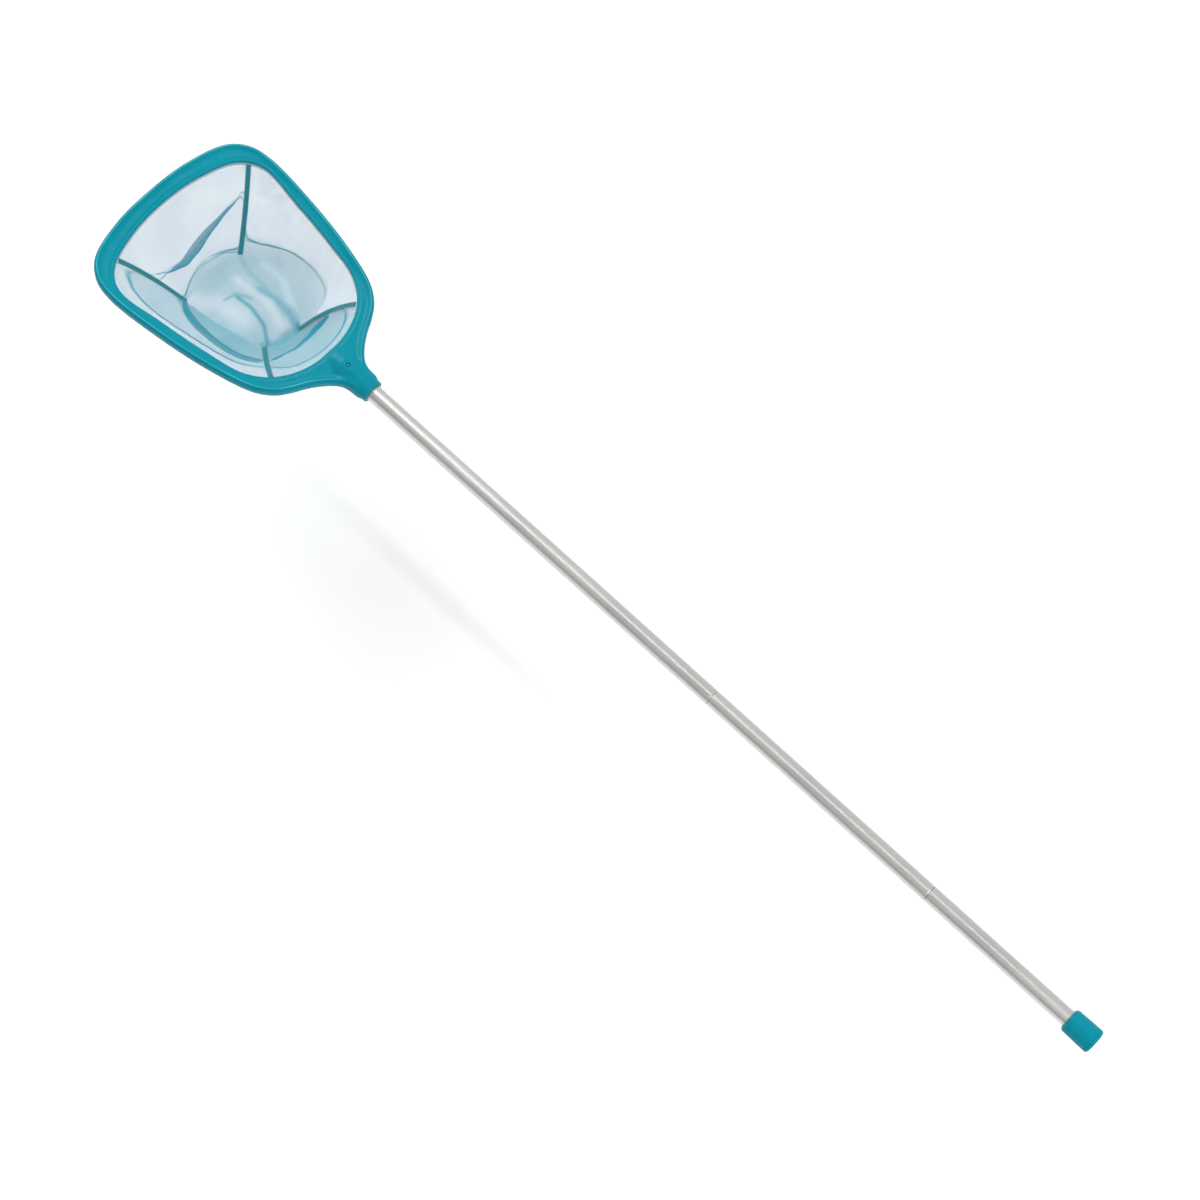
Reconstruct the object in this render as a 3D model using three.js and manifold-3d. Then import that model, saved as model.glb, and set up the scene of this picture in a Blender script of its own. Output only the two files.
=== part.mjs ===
// Leaf skimmer net: a moulded hoop with a hanging mesh bag on a three-section push-fit pole.
// Millimetres, +Z up. The pole's axis is the Y axis and the net is at its +Y end.
// The origin is on the axis at the middle of the lower pole section, where a hand holds it.

import * as THREE from 'three';
import { mergeVertices } from 'three/addons/utils/BufferGeometryUtils.js';
import Module from 'manifold-3d';

const wasm = await Module();
wasm.setup();

// ---- Driving dimensions -------------------------------------------------------------

const GAP = 0.3;                  // clearance between pieces that touch
const ROUND_SEGMENTS = 36;
const SMALL_ROUND_SEGMENTS = 24;

// Pole: 22 mm aluminium tube, each section's lower end necked down to plug into the next
const TUBE_RADIUS = 11;
const TUBE_WALL = 0.9;
const SPIGOT_LENGTH = 40;
const SPIGOT_NECK = 3;            // length of the cone from full size down to the spigot
const LOWER_VISIBLE = 214;
const MIDDLE_VISIBLE = 344;
const UPPER_VISIBLE = 563;
const TUBE_END_ROUNDING = 0.4;

// End cap
const CAP_RADIUS = 16.4;
const CAP_LENGTH = 41;
const CAP_END_WALL = 5;
const CAP_ROUNDING = 4;

// Socket on the net head
const SOCKET_RADIUS = 15.2;
const SOCKET_STRAIGHT = 46;       // full-size stretch behind the mouth
const SOCKET_LENGTH = 71;
const SOCKET_TIP_RADIUS = 8.6;
const SOCKET_CHAMFER = 0.8;
const TUBE_IN_SOCKET = 55;
const BORE_DEPTH = 57;

// Hoop
const HOOP_TOP = 9;
const HOOP_BOTTOM = -5;
const HOOP_BEVEL = 2.4;
const REBATE_WIDTH = 5;           // the step under the opening's edge that takes the hem and ring
const REBATE_TOP = 1;
const RING_WIDTH = 4.2;
const HEM_THICKNESS = 1;

// Net bag
const BAG_WALL = 1;
const BAG_RIM_TOP = REBATE_TOP - HEM_THICKNESS - 2 * GAP;
const BAG_FLOOR = -86;
const SIDE_SAMPLES = 14;
const TAPE_WIDTH = 5;
const TAPE_THICKNESS = 0.8;
const TAPE_INSET = 6.8;           // the tape lies this far inside the bag's corner

// Snap button and its spring
const BUTTON_FROM_MOUTH = 43;
const BUTTON_RADIUS = 2.5;
const BUTTON_HOLE_RADIUS = 3;
const BUTTON_TOP = SOCKET_RADIUS - 0.4;
const BUTTON_FLANGE_RADIUS = 4;
const BUTTON_FLANGE_TOP = 8.9;
const BUTTON_FLANGE_THICKNESS = 0.8;
const BUTTON_DOME = 0.9;
const SPRING_THICKNESS = 0.7;
const SPRING_WIDTH = 7;
const SPRING_LEG = 28;
const SPRING_LOWER_LEG = 1;       // the lower leg lies this much further from the axis

// Places along the pole, worked out from the lengths above
const LOWER_TOP_Y = LOWER_VISIBLE / 2;
const LOWER_BOTTOM_Y = -LOWER_VISIBLE / 2;
const CAP_END_Y = LOWER_BOTTOM_Y - CAP_LENGTH;
const MIDDLE_TOP_Y = LOWER_TOP_Y + MIDDLE_VISIBLE;
const MOUTH_Y = MIDDLE_TOP_Y + UPPER_VISIBLE;
const BUTTON_Y = MOUTH_Y + BUTTON_FROM_MOUTH;

// Half outlines of the head in plan, as [distance from the socket mouth, half width].
// They run from the far edge's middle to the neck and are mirrored across the pole's axis.
const OUTER_HALF = [
  [388, 0], [384, 60], [368, 113], [346, 132.5], [316, 139], [240, 133.3], [160, 119.6],
  [105, 103], [83, 87.5], [71, 71], [61, 52.5], [49, 35.5], [37, 23.5], [26, 16.8], [12, 14.4],
];
const INNER_HALF = [
  [365, 0], [359, 58], [341, 106], [313, 123.5], [250, 117.5], [180, 107], [130, 95.5],
  [101, 75], [82, 43], [75, 0],
];
const OUTLINE_STEPS = 4;          // straight steps between two points of an outline
const RIM_FAR_CORNER = 2;         // places of the bag's corners in INNER_HALF
const RIM_NEAR_CORNER = 7;

// The bag's floor: far and near corners, as [distance from the mouth, half width]
const FLOOR_FAR = [281, 48];
const FLOOR_NEAR = [152, 27];
const FLOOR_SIDE_BOW = 13;        // how far the floor's left and right edges bow outwards
const FLOOR_END_BOW = 5;          // and its far and near edges

// ---- Materials ------------------------------------------------------------------------

const teal = () => new THREE.MeshStandardMaterial({ color: 0x1391a6, roughness: 0.35, metalness: 0 });
const tape = () => new THREE.MeshStandardMaterial({ color: 0x32828f, roughness: 0.8, metalness: 0 });
const mesh = () => new THREE.MeshStandardMaterial({ color: 0xc3dbe4, roughness: 0.9, metalness: 0 });
const aluminium = () => new THREE.MeshStandardMaterial({ color: 0xbebeb9, roughness: 0.3, metalness: 1 });
const steel = () => new THREE.MeshStandardMaterial({ color: 0xa8abad, roughness: 0.35, metalness: 1 });

// ---- Solids ---------------------------------------------------------------------------

function toSolid(geometry) {
  const bare = geometry.index ? geometry.toNonIndexed() : geometry.clone();
  bare.deleteAttribute('normal');
  bare.deleteAttribute('uv');
  const merged = mergeVertices(bare, 1e-4);
  const corners = merged.index.array;
  const triangles = [];
  for (let i = 0; i < corners.length; i += 3) {
    const [a, b, c] = corners.slice(i, i + 3);
    if (a !== b && b !== c && c !== a) triangles.push(a, b, c);
  }
  return new wasm.Manifold(new wasm.Mesh({
    numProp: 3,
    vertProperties: new Float32Array(merged.attributes.position.array),
    triVerts: new Uint32Array(triangles),
  }));
}

function fromSolid(solid) {
  const result = solid.getMesh();
  const geometry = new THREE.BufferGeometry();
  geometry.setAttribute('position', new THREE.BufferAttribute(result.vertProperties, 3));
  geometry.setIndex(new THREE.BufferAttribute(result.triVerts, 1));
  return geometry;
}

function namedMesh(name, geometry, material) {
  const part = new THREE.Mesh(geometry, material);
  part.name = name;
  return part;
}

// A turned piece: profile points are [radius, y], listed up the outside. The axis is the Y axis.
function turned(profile, segments = ROUND_SEGMENTS) {
  return new THREE.LatheGeometry(profile.map(([r, y]) => new THREE.Vector2(r, y)), segments);
}

function closedProfile(profile) {
  return [...profile, profile[0]];
}

// Profile points on an elliptical bend about [r, y], between two angles in quarter turns
function bend(r, y, across, along, from, to, steps = 2) {
  return Array.from({ length: steps + 1 }, (_, i) => {
    const angle = ((from + ((to - from) * i) / steps) * Math.PI) / 2;
    return [r + across * Math.cos(angle), y + along * Math.sin(angle)];
  });
}

// ---- Plan outlines ------------------------------------------------------------------

// A closed curve through a half outline and its mirror image, in x and y.
function mirroredCurve(half) {
  const right = half.map(([along, across]) => new THREE.Vector3(across, MOUTH_Y + along, 0));
  const left = right.filter((p) => p.x > 0).reverse().map((p) => new THREE.Vector3(-p.x, p.y, 0));
  return new THREE.CatmullRomCurve3([...right, ...left], true, 'centripetal');
}

// The outer outline is left open at the neck, where it ends inside the socket.
function outerPoints() {
  const right = OUTER_HALF.map(([along, across]) => new THREE.Vector3(across, MOUTH_Y + along, 0));
  const left = right.slice(1).reverse().map((p) => new THREE.Vector3(-p.x, p.y, 0));
  const around = [...left, ...right];
  return new THREE.CatmullRomCurve3(around, false, 'centripetal').getPoints(
    OUTLINE_STEPS * (around.length - 1));
}

// The opening's outline as four sides that start at the bag's corners, so that the rim and
// the floor can be joined corner to corner: far, right, near and left side.
function rimSides() {
  const count = 2 * INNER_HALF.length - 2;
  const curve = mirroredCurve(INNER_HALF);
  const corners = [-RIM_FAR_CORNER, RIM_FAR_CORNER, RIM_NEAR_CORNER, count - RIM_NEAR_CORNER];
  return corners.map((start, i) => {
    const end = i < 3 ? corners[i + 1] : count - RIM_FAR_CORNER;
    const side = [];
    for (let k = 0; k < SIDE_SAMPLES; k += 1) {
      const at = (start + ((end - start) * k) / SIDE_SAMPLES) / count;
      side.push(curve.getPoint((at + 1) % 1));
    }
    return side;
  });
}

// Moves each point of a closed outline square to it, outwards for a positive distance.
// The outline runs clockwise seen from above.
function offset(points, distance) {
  return points.map((p, i) => {
    const before = points[(i + points.length - 1) % points.length];
    const after = points[(i + 1) % points.length];
    const along = after.clone().sub(before).normalize();
    return new THREE.Vector3(p.x - along.y * distance, p.y + along.x * distance, p.z);
  });
}

// Outlines here run clockwise, and a three.js shape with a hole wants to run the other way.
function shapeOf(points) {
  return new THREE.Shape(points.map((p) => new THREE.Vector2(p.x, p.y)).reverse());
}

function pathOf(points) {
  return new THREE.Path(points.map((p) => new THREE.Vector2(p.x, p.y)));
}

// A flat piece with a straight edge between two heights, with or without a hole.
function slab(outer, hole, bottom, top, bevel = 0) {
  const shape = shapeOf(outer);
  if (hole) shape.holes.push(pathOf(hole));
  const geometry = new THREE.ExtrudeGeometry(shape, {
    depth: top - bottom - 2 * bevel,
    bevelEnabled: bevel > 0,
    bevelThickness: bevel,
    bevelSize: bevel,
    bevelOffset: -bevel,
    bevelSegments: 2,
    steps: 1,
  });
  return geometry.translate(0, 0, bottom + bevel);
}

const rim = rimSides().flat();

// ---- Head -------------------------------------------------------------------------------

function headFrame() {
  const boreRadius = TUBE_RADIUS + GAP;
  const plan = toSolid(slab(outerPoints(), rim, HOOP_BOTTOM, HOOP_TOP, HOOP_BEVEL));
  const socket = toSolid(turned([
    [0, 0],
    [SOCKET_RADIUS - SOCKET_CHAMFER, 0],
    [SOCKET_RADIUS, SOCKET_CHAMFER],
    [SOCKET_RADIUS, SOCKET_STRAIGHT],
    [(SOCKET_RADIUS * 2 + SOCKET_TIP_RADIUS) / 3, (SOCKET_STRAIGHT + SOCKET_LENGTH) / 2],
    [SOCKET_TIP_RADIUS, SOCKET_LENGTH],
    [0, SOCKET_LENGTH],
  ]).translate(0, MOUTH_Y, 0));
  const bore = toSolid(turned([
    [0, -1],
    [boreRadius, -1],
    [boreRadius, BORE_DEPTH],
    [0, BORE_DEPTH],
  ]).translate(0, MOUTH_Y, 0));
  const rebate = toSolid(slab(offset(rim, REBATE_WIDTH), null, -SOCKET_RADIUS - 1, REBATE_TOP));
  const solid = plan.add(socket).subtract(rebate).subtract(bore).subtract(buttonHole());
  return namedMesh('head_frame', fromSolid(solid), teal());
}

// The ring that presses the net's hem up into the hoop's rebate
function netRing() {
  const outer = offset(rim, RING_WIDTH + GAP);
  const inner = offset(rim, GAP);
  const top = REBATE_TOP - HEM_THICKNESS - 2 * GAP;
  return namedMesh('net_ring', slab(outer, inner, HOOP_BOTTOM, top), teal());
}

// The folded hem, gripped between the hoop and the ring
function hemBand() {
  const outer = offset(rim, RING_WIDTH - 1);
  const inner = offset(rim, -BAG_WALL - GAP);
  const top = REBATE_TOP - GAP;
  return namedMesh('hem_band', slab(outer, inner, top - HEM_THICKNESS, top), mesh());
}

// ---- Net bag ----------------------------------------------------------------------------

// The floor's outline, with as many points a side as the rim has
function floorPoints() {
  const corners = [
    [-FLOOR_FAR[1], FLOOR_FAR[0]], [FLOOR_FAR[1], FLOOR_FAR[0]],
    [FLOOR_NEAR[1], FLOOR_NEAR[0]], [-FLOOR_NEAR[1], FLOOR_NEAR[0]],
  ];
  const bows = [[0, FLOOR_END_BOW], [FLOOR_SIDE_BOW, 0], [0, -FLOOR_END_BOW], [-FLOOR_SIDE_BOW, 0]];
  return corners.flatMap(([x0, a0], i) => {
    const [x1, a1] = corners[(i + 1) % 4];
    return Array.from({ length: SIDE_SAMPLES }, (_, k) => {
      const t = k / SIDE_SAMPLES;
      const bow = 4 * t * (1 - t);
      const x = x0 + (x1 - x0) * t + bows[i][0] * bow;
      const along = a0 + (a1 - a0) * t + bows[i][1] * bow;
      return new THREE.Vector3(x, MOUTH_Y + along, 0);
    });
  });
}

// A closed solid through a stack of closed rings of points, capped at both ends.
function loft(rings) {
  const count = rings[0].length;
  const positions = rings.flat().flatMap((p) => [p.x, p.y, p.z]);
  const index = [];
  for (let level = 0; level < rings.length - 1; level += 1) {
    for (let k = 0; k < count; k += 1) {
      const a = level * count + k;
      const b = level * count + ((k + 1) % count);
      index.push(a, b, a + count, b, b + count, a + count);
    }
  }
  [0, rings.length - 1].forEach((level) => {
    const centre = rings[level].reduce((sum, p) => sum.add(p), new THREE.Vector3()).divideScalar(count);
    const hub = positions.length / 3;
    positions.push(centre.x, centre.y, centre.z);
    for (let k = 0; k < count; k += 1) {
      const a = level * count + k;
      const b = level * count + ((k + 1) % count);
      if (level === 0) index.push(hub, b, a);
      else index.push(hub, a, b);
    }
  });
  const geometry = new THREE.BufferGeometry();
  geometry.setAttribute('position', new THREE.Float32BufferAttribute(positions, 3));
  geometry.setIndex(index);
  return geometry;
}

function atHeight(points, z) {
  return points.map((p) => new THREE.Vector3(p.x, p.y, z));
}

// The points where the straight lines from a lower ring through an upper one reach a height
function carriedUp(lower, upper, z) {
  return upper.map((p, i) => lower[i].clone().lerp(p, (z - lower[i].z) / (p.z - lower[i].z)));
}

function netBag() {
  const rimOutside = atHeight(offset(rim, -GAP), BAG_RIM_TOP);
  const rimInside = atHeight(offset(rim, -GAP - BAG_WALL), BAG_RIM_TOP);
  const floorOutside = atHeight(floorPoints(), BAG_FLOOR);
  const floorInside = atHeight(offset(floorOutside, -BAG_WALL), BAG_FLOOR + BAG_WALL);
  const outside = toSolid(loft([rimOutside, floorOutside]));
  const inside = toSolid(loft([carriedUp(floorInside, rimInside, BAG_RIM_TOP + 1), floorInside]));
  return namedMesh('net_bag', fromSolid(outside.subtract(inside)), mesh());
}

// A tape down the inside of one corner of the bag, from the rim to the floor
function seamTape(name, corner) {
  const top = rim[corner * SIDE_SAMPLES].clone().setZ(BAG_RIM_TOP - BAG_WALL);
  const foot = floorPoints()[corner * SIDE_SAMPLES].clone().setZ(BAG_FLOOR + 2 * BAG_WALL);
  const centre = new THREE.Vector3(0, MOUTH_Y + (FLOOR_FAR[0] + FLOOR_NEAR[0]) / 2, 0);
  [top, foot].forEach((p) => p.add(centre.clone().sub(p).setZ(0).setLength(TAPE_INSET)));
  const down = foot.clone().sub(top);
  const length = down.length();
  down.normalize();
  const width = new THREE.Vector3(0, 0, 1).cross(down).normalize();
  const face = down.clone().cross(width);
  const geometry = new THREE.BoxGeometry(TAPE_WIDTH, TAPE_THICKNESS, length);
  geometry.applyMatrix4(new THREE.Matrix4().makeBasis(width, face, down));
  const middle = top.add(foot).multiplyScalar(0.5);
  return namedMesh(name, geometry.translate(middle.x, middle.y, middle.z), tape());
}

// ---- Pole -------------------------------------------------------------------------------

// One section of the pole between its lower joint and its upper end, with or without a spigot
function tubeProfile(bottom, top, spigot) {
  const inner = TUBE_RADIUS - TUBE_WALL;
  const spigotRadius = inner - GAP;
  const upperEnd = [
    [TUBE_RADIUS, top - TUBE_END_ROUNDING],
    [TUBE_RADIUS - TUBE_END_ROUNDING, top],
    [inner, top],
  ];
  if (!spigot) return [[inner, bottom], [TUBE_RADIUS, bottom], ...upperEnd];
  return [
    [spigotRadius - TUBE_WALL, bottom],
    [spigotRadius - TUBE_WALL, bottom - SPIGOT_LENGTH],
    [spigotRadius, bottom - SPIGOT_LENGTH],
    [spigotRadius, bottom],
    [TUBE_RADIUS, bottom + SPIGOT_NECK],
    ...upperEnd,
    [inner, bottom + SPIGOT_NECK],
  ];
}

function poleSection(name, bottom, top, spigot) {
  return namedMesh(name, turned(closedProfile(tubeProfile(bottom, top, spigot))), aluminium());
}

// A round hole straight down through the upper wall of the socket and of the tube in it
function buttonHole() {
  const hole = turned([
    [0, 2],
    [BUTTON_HOLE_RADIUS, 2],
    [BUTTON_HOLE_RADIUS, SOCKET_RADIUS + 3],
    [0, SOCKET_RADIUS + 3],
  ], SMALL_ROUND_SEGMENTS);
  return toSolid(hole.rotateX(Math.PI / 2).translate(0, BUTTON_Y, 0));
}

function upperSection() {
  const profile = closedProfile(tubeProfile(MIDDLE_TOP_Y, MOUTH_Y + TUBE_IN_SOCKET, true));
  const solid = toSolid(turned(profile)).subtract(buttonHole());
  return namedMesh('pole_upper', fromSolid(solid), aluminium());
}

function endCap() {
  const bore = TUBE_RADIUS + GAP;
  const shoulder = CAP_RADIUS - CAP_ROUNDING;
  return namedMesh('end_cap', turned([
    [0, CAP_END_Y],
    ...bend(shoulder, CAP_END_Y + CAP_ROUNDING, CAP_ROUNDING, CAP_ROUNDING, -1, 0),
    ...bend(shoulder, LOWER_BOTTOM_Y - CAP_ROUNDING, CAP_ROUNDING, CAP_ROUNDING, 0, 1),
    [bore, LOWER_BOTTOM_Y],
    [bore, CAP_END_Y + CAP_END_WALL],
    [0, CAP_END_Y + CAP_END_WALL],
  ]), teal());
}

// ---- Snap button ------------------------------------------------------------------------

function snapButton() {
  const bottom = BUTTON_FLANGE_TOP - BUTTON_FLANGE_THICKNESS;
  const geometry = turned([
    [0, bottom],
    [BUTTON_FLANGE_RADIUS, bottom],
    [BUTTON_FLANGE_RADIUS, BUTTON_FLANGE_TOP],
    [BUTTON_RADIUS, BUTTON_FLANGE_TOP],
    ...bend(0, BUTTON_TOP - BUTTON_DOME, BUTTON_RADIUS, BUTTON_DOME, 0, 1, 3),
  ], SMALL_ROUND_SEGMENTS);
  return namedMesh('snap_button', geometry.rotateX(Math.PI / 2).translate(0, BUTTON_Y, 0), teal());
}

// A strip bent into a U that lies on its side inside the tube, its open end towards the net
function snapSpring() {
  const top = BUTTON_FLANGE_TOP - BUTTON_FLANGE_THICKNESS - GAP;
  const bottom = -top - SPRING_LOWER_LEG;
  const radius = (top - bottom) / 2;
  const middle = (top + bottom) / 2;
  const bendY = -SPRING_LEG + BUTTON_FLANGE_RADIUS;
  const quarter = Math.PI / 2;
  const strip = new THREE.Shape();
  strip.moveTo(BUTTON_FLANGE_RADIUS, top);
  strip.absarc(bendY, middle, radius, quarter, 3 * quarter, false);
  strip.lineTo(BUTTON_FLANGE_RADIUS, bottom);
  strip.lineTo(BUTTON_FLANGE_RADIUS, bottom + SPRING_THICKNESS);
  strip.absarc(bendY, middle, radius - SPRING_THICKNESS, 3 * quarter, quarter, true);
  strip.lineTo(BUTTON_FLANGE_RADIUS, top - SPRING_THICKNESS);
  const geometry = new THREE.ExtrudeGeometry(strip, {
    depth: SPRING_WIDTH,
    bevelEnabled: false,
    curveSegments: SMALL_ROUND_SEGMENTS / 2,
  });
  geometry.translate(0, 0, -SPRING_WIDTH / 2);
  geometry.applyMatrix4(new THREE.Matrix4().makeBasis(
    new THREE.Vector3(0, 1, 0), new THREE.Vector3(0, 0, 1), new THREE.Vector3(1, 0, 0)));
  return namedMesh('snap_spring', geometry.translate(0, BUTTON_Y, 0), steel());
}

// ---- Assembly ---------------------------------------------------------------------------

const skimmer = new THREE.Group();
skimmer.add(headFrame());
skimmer.add(netRing());
skimmer.add(hemBand());
skimmer.add(netBag());
['far_left', 'far_right', 'near_right', 'near_left'].forEach((place, corner) => {
  skimmer.add(seamTape(`seam_tape_${place}`, corner));
});
skimmer.add(upperSection());
skimmer.add(poleSection('pole_middle', LOWER_TOP_Y, MIDDLE_TOP_Y, true));
skimmer.add(poleSection('pole_lower', CAP_END_Y + CAP_END_WALL + GAP, LOWER_TOP_Y, false));
skimmer.add(endCap());
skimmer.add(snapButton());
skimmer.add(snapSpring());

export default skimmer;
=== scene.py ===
"""Leaf skimmer net: the looks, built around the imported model.

Metres, +Z up. The pole's axis is the Y axis, with the net at its +Y end.
"""

import math
from functools import partial
from itertools import product

import bmesh
import bpy
import numpy as np
from mathutils import Matrix, Vector


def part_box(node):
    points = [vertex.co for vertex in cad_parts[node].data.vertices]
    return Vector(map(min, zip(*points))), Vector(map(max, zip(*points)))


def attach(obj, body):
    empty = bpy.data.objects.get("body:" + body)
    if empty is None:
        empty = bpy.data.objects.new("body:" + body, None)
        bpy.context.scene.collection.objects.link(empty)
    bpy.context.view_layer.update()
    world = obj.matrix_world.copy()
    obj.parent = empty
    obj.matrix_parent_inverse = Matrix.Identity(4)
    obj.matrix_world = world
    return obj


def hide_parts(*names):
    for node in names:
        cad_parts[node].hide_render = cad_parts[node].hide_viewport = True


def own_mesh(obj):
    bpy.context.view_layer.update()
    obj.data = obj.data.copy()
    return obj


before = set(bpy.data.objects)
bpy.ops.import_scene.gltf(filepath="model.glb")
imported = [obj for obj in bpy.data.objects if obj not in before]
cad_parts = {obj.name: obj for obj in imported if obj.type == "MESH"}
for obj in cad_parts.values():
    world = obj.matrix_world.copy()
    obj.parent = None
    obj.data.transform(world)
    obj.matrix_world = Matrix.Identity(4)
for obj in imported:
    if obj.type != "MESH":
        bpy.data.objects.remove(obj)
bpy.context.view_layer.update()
MM = 0.001

# ---- Places from the frame ----

HEAD_LOW, HEAD_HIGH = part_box("head_frame")
RING_LOW, RING_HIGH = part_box("net_ring")
BAG_LOW, BAG_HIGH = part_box("net_bag")
HEM_LOW, HEM_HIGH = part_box("hem_band")
CAP_LOW, CAP_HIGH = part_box("end_cap")
BUTTON_LOW, BUTTON_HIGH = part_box("snap_button")
SPRING_LOW, SPRING_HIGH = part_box("snap_spring")
MIDDLE_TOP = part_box("pole_middle")[1].y
LOWER_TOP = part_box("pole_lower")[1].y

MOUTH_Y = HEAD_LOW.y
BUTTON_Y = (BUTTON_LOW.y + BUTTON_HIGH.y) / 2
SOCKET_RADIUS = HEAD_HIGH.z
TUBE_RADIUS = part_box("pole_upper")[1].x
CAP_RADIUS = CAP_HIGH.x
HOOP_BOTTOM = RING_LOW.z
FLOOR_Z = BAG_LOW.z
RIM_Z = BAG_HIGH.z

# ---- The head's outlines ----

# Half outlines in plan, as (distance from the socket's mouth, half width) in millimetres, from
# the far edge's middle to the neck. They are mirrored across the pole's axis.
OUTER_HALF = [
    (388, 0), (384, 60), (368, 113), (346, 132.5), (316, 139), (240, 133.3), (160, 119.6),
    (105, 103), (83, 87.5), (71, 71), (61, 52.5), (49, 35.5), (37, 23.5), (26, 16.8), (12, 14.4),
]
INNER_HALF = [
    (365, 0), (359, 58), (341, 106), (313, 123.5), (250, 117.5), (180, 107), (130, 95.5),
    (101, 75), (82, 43), (75, 0),
]
RIM_FAR_CORNER = 2
RIM_NEAR_CORNER = 7
FLOOR_FAR = (281, 48)
FLOOR_NEAR = (152, 27)


def mirrored(half):
    """The points of a half outline and its mirror image, in plan, in metres."""
    right = [(across * MM, MOUTH_Y + along * MM) for along, across in half]
    left = [(-x, y) for x, y in reversed(right) if x > 0]
    return np.array(right + left)


def unit(vectors):
    """The vectors at length 1."""
    return vectors / np.linalg.norm(vectors, axis=-1, keepdims=True)


def travelled(points):
    """The length along a line of points from the first to each. Columns of lines are measured at once."""
    steps = np.linalg.norm(np.diff(points, axis=0), axis=-1)
    return np.insert(np.cumsum(steps, axis=0), 0, 0, axis=0)


def curve_through(points, at, closed=True):
    """Places on the centripetal Catmull-Rom curve through some points, counted in points."""
    count = len(points)
    first = np.floor(at).astype(int)
    if closed:
        near = [points[(first + k) % count] for k in (-1, 0, 1, 2)]
    else:
        first = np.minimum(first, count - 2)
        padded = np.vstack([2 * points[0] - points[1], points, 2 * points[-1] - points[-2]])
        near = [padded[first + 1 + k] for k in (-1, 0, 1, 2)]
    p0, p1, p2, p3 = near
    pairs = ((p0, p1), (p1, p2), (p2, p3))
    d0, d1, d2 = (np.sqrt(np.linalg.norm(b - a, axis=1))[:, None] for a, b in pairs)
    start = ((p1 - p0) / d0 - (p2 - p0) / (d0 + d1) + (p2 - p1) / d1) * d1
    end = ((p2 - p1) / d1 - (p3 - p1) / (d1 + d2) + (p3 - p2) / d2) * d1
    t = (at - first)[:, None]
    return (
        p1
        + start * t
        + (3 * (p2 - p1) - 2 * start - end) * t**2
        + (2 * (p1 - p2) + start + end) * t**3
    )


def outward(points):
    """Unit normals of a closed plan outline that runs clockwise seen from above."""
    along = unit(np.roll(points, -1, axis=0) - np.roll(points, 1, axis=0))
    return np.stack([-along[:, 1], along[:, 0]], axis=1)


def rim_line(per_side):
    """The opening's outline, with the same number of points on its far, right, near and left side."""
    count = 2 * len(INNER_HALF) - 2
    right = [RIM_FAR_CORNER, RIM_NEAR_CORNER]
    corners = [-RIM_FAR_CORNER, *right, count - RIM_NEAR_CORNER, count - RIM_FAR_CORNER]
    steps = np.arange(per_side) / per_side
    at = np.concatenate([a + (b - a) * steps for a, b in zip(corners, corners[1:])])
    return curve_through(mirrored(INNER_HALF), at % count)


# ---- Mesh helpers ----

SHARP_ANGLE = math.radians(32)


def placed(name, data):
    """An object with this data, in the scene."""
    obj = bpy.data.objects.new(name, data)
    bpy.context.scene.collection.objects.link(obj)
    return obj


def mesh_object(name, points, faces):
    """A smooth-shaded object with a mesh of these points and faces."""
    data = bpy.data.meshes.new(name)
    data.from_pydata([tuple(map(float, p)) for p in points], [], [tuple(map(int, f)) for f in faces])
    data.shade_smooth()
    return placed(name, data)


def point_values(obj, name, values):
    """Stores one number for each vertex, for the material to read."""
    data = obj.data.attributes.new(name, "FLOAT", "POINT").data
    data.foreach_set("value", np.asarray(values, np.float32))


def face_outwards(obj):
    """Turns a closed mesh's faces outwards."""
    work = bmesh.new()
    work.from_mesh(obj.data)
    bmesh.ops.recalc_face_normals(work, faces=work.faces)
    work.to_mesh(obj.data)
    work.free()


def crisp(obj):
    """Shades edges of more than SHARP_ANGLE as sharp."""
    obj.data.set_sharp_from_angle(angle=SHARP_ANGLE)


def swept(name, sections, closed=True):
    """A solid through closed sections of points, joined end to end or capped at both ends."""
    sections = np.asarray(sections, float)
    stations, around = sections.shape[:2]
    faces = []
    for i in range(stations if closed else stations - 1):
        here = i * around
        after = (i + 1) % stations * around
        for k in range(around):
            n = (k + 1) % around
            faces.append((here + k, here + n, after + n, after + k))
    if not closed:
        faces.append(range(around))
        faces.append(range((stations - 1) * around, stations * around))
    obj = mesh_object(name, sections.reshape(-1, 3), faces)
    face_outwards(obj)
    return obj


def rounded(corners, steps=6):
    """A closed profile through (x, y, radius) corners, each rounded with an arc of that radius."""
    points = []
    for i, (x, y, radius) in enumerate(corners):
        here = np.array([x, y], float)
        if radius <= 0:
            points.append(here)
            continue
        before = unit(np.array(corners[i - 1][:2], float) - here)
        after = unit(np.array(corners[(i + 1) % len(corners)][:2], float) - here)
        half = math.acos(np.clip(before @ after, -1, 1)) / 2
        reach = radius / math.tan(half)
        centre = here + unit(before + after) * radius / math.sin(half)
        first = here + before * reach - centre
        last = here + after * reach - centre
        angle = math.acos(np.clip(first @ last / radius**2, -1, 1))
        for k in range(steps + 1):
            share = k / steps
            mix = math.sin((1 - share) * angle) * first + math.sin(share * angle) * last
            points.append(centre + mix / math.sin(angle))
    return np.array(points)


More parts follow.
